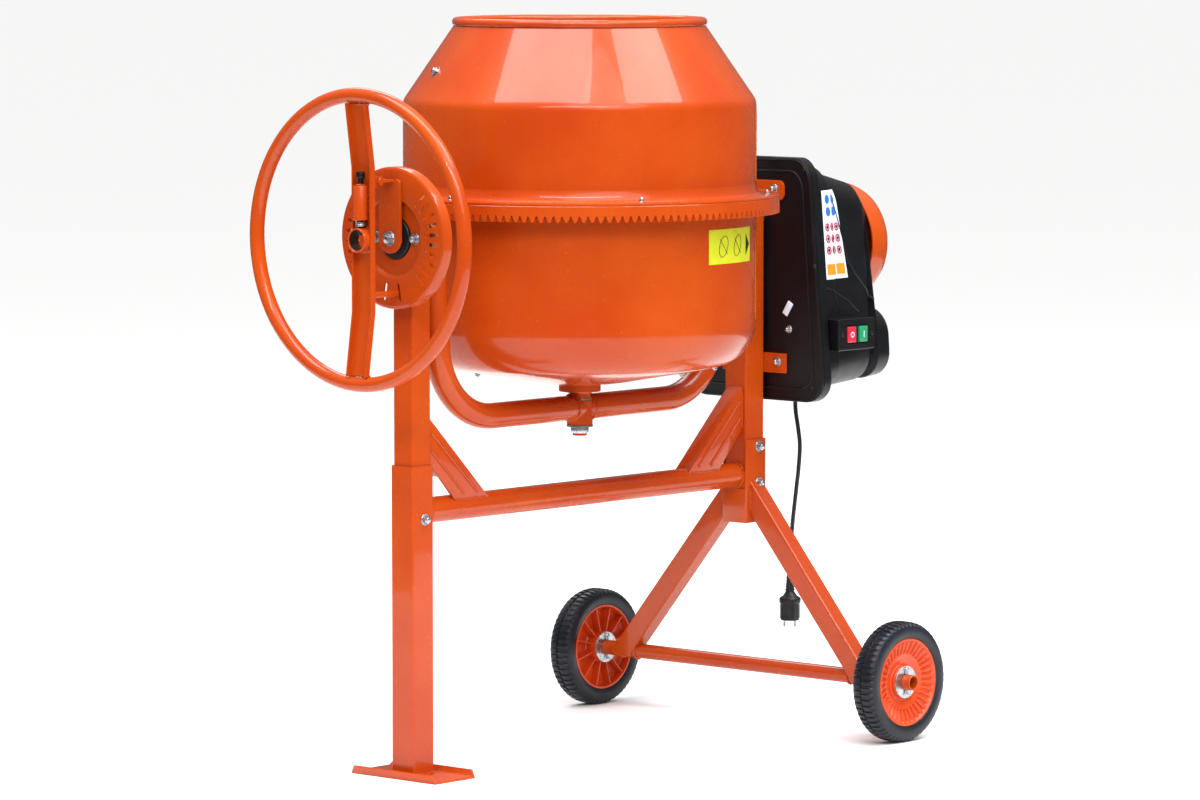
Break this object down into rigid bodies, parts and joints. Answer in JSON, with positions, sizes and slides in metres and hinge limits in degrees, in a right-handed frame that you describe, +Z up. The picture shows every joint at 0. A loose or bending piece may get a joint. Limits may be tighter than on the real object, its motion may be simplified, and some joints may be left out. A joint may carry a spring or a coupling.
{
  "type": "concrete mixer",
  "caption": "Electric tilting-drum concrete mixer: open-topped drum in a tube yoke on a two-wheeled post frame, with toothed drive ring, slotted tilt-lock disc, handwheel and motor housing.",
  "frame": {"origin": "on the floor, under the middle of the machine's box", "axes": "+X along the tilt axis, from the handwheel to the motor housing; +Y along the road axle, away from the switch box; +Z up"},
  "size_m": [1.291, 0.784, 1.27],
  "materials": {
    "orange_enamel": "glossy orange enamel",
    "zinc_plate": "bright zinc plating",
    "bare_steel": "machined or dull steel",
    "black_plastic": "finely grained black plastic",
    "black_rubber": "matt black rubber",
    "tyre_rubber": "solid tyre rubber with moulded blocks",
    "orange_plastic": "moulded orange plastic",
    "green_button": "green push button",
    "red_button": "red push button"
  },
  "bodies": {
    "frame": {"foot_plate": "orange_enamel", "leg_sleeve": "orange_enamel", "front_post": "orange_enamel", "crossbar": "orange_enamel", "gusset_front": "orange_enamel", "gusset_rear": "orange_enamel", "rear_post": "orange_enamel", "leg_bracket": "orange_enamel", "axle_leg_near": "orange_enamel", "axle_leg_far": "orange_enamel", "axle": "orange_enamel", "bearing_flange": "orange_enamel", "front_bearing": "bare_steel", "bearing_seal": "black_rubber", "lock_disc": "orange_enamel", "disc_bolt_near": "zinc_plate", "disc_bolt_far": "zinc_plate", "rear_bearing": "bare_steel", "housing_bracket_upper": "orange_enamel", "housing_bracket_lower": "orange_enamel", "back_plate": "black_plastic", "housing_cover": "black_plastic", "motor_cap": "orange_enamel", "motor": "bare_steel", "drive_belt": "black_rubber", "switch_box": "black_plastic", "cable_gland": "black_rubber", "power_cord": "black_rubber", "power_plug": "black_rubber"},
    "tilt_yoke": {"yoke_arm_front": "orange_enamel", "yoke_arm_rear": "orange_enamel", "yoke_hub": "orange_enamel", "hub_bearing": "bare_steel", "trunnion_front": "bare_steel", "trunnion_rear": "bare_steel", "drive_arm": "orange_enamel", "arm_bolt": "zinc_plate", "hinge_pin": "zinc_plate"},
    "drum": {"lower_drum": "orange_enamel", "upper_drum": "orange_enamel", "ring_gear": "orange_enamel", "mixing_paddle_a": "bare_steel", "mixing_paddle_b": "bare_steel", "drum_spindle": "bare_steel", "spindle_nut": "zinc_plate"},
    "handwheel": {"handwheel_rim": "orange_enamel", "handwheel_spoke": "orange_enamel", "lock_lug": "orange_enamel", "latch_spring": "bare_steel"},
    "latch": {"latch_plunger": "black_plastic"},
    "pinion": {"pinion_shaft": "bare_steel", "large_pulley": "black_plastic", "drive_pinion": "bare_steel"},
    "motor_pulley": {"motor_pulley": "zinc_plate"},
    "wheel_near": {"wheel_rim_near": "orange_plastic", "tyre_near": "tyre_rubber"},
    "wheel_far": {"wheel_rim_far": "orange_plastic", "tyre_far": "tyre_rubber"},
    "start_button": {"start_button": "green_button"},
    "stop_button": {"stop_button": "red_button"}
  },
  "joints": [
    {"name": "drum_tilt", "type": "hinge", "parent": "frame", "child": "tilt_yoke", "pos_m": [-0.0895, 0, 0.91], "axis": [1, 0, 0], "range_deg": [-135, 135]},
    {"name": "drum_spin", "type": "hinge", "parent": "tilt_yoke", "child": "drum", "pos_m": [-0.0895, 0, 0.6], "axis": [0, 0, 1], "continuous": true},
    {"name": "pinion_spin", "type": "hinge", "parent": "tilt_yoke", "child": "pinion", "pos_m": [0.2405, 0, 0.91], "axis": [1, 0, 0], "continuous": true},
    {"name": "motor_pulley_spin", "type": "hinge", "parent": "frame", "child": "motor_pulley", "pos_m": [0.4225, 0, 0.69], "axis": [1, 0, 0], "continuous": true},
    {"name": "handwheel_rock", "type": "hinge", "parent": "tilt_yoke", "child": "handwheel", "pos_m": [-0.6015, 0, 1.0065], "axis": [0, 1, 0], "range_deg": [0, 8], "stiffness_Nm_per_rad": 60, "springref_deg": -4.58},
    {"name": "latch_pull", "type": "slide", "parent": "handwheel", "child": "latch", "axis": [0, 0, 1], "range_m": [0, 0.012], "stiffness_N_per_m": 900, "springref_m": -0.006},
    {"name": "wheel_near_spin", "type": "hinge", "parent": "frame", "child": "wheel_near", "pos_m": [0.3475, -0.358, 0.106], "axis": [0, 1, 0], "continuous": true},
    {"name": "wheel_far_spin", "type": "hinge", "parent": "frame", "child": "wheel_far", "pos_m": [0.3475, 0.358, 0.106], "axis": [0, 1, 0], "continuous": true},
    {"name": "start_press", "type": "slide", "parent": "frame", "child": "start_button", "axis": [0, 1, 0], "range_m": [0, 0.003], "stiffness_N_per_m": 600, "springref_m": -0.002},
    {"name": "stop_press", "type": "slide", "parent": "frame", "child": "stop_button", "axis": [0, 1, 0], "range_m": [0, 0.003], "stiffness_N_per_m": 600, "springref_m": -0.002}
  ],
  "couplings": [
    {"joint": "pinion_spin", "follows": "drum_spin", "ratio": -12.5},
    {"joint": "motor_pulley_spin", "follows": "drum_spin", "ratio": -100}
  ]
}
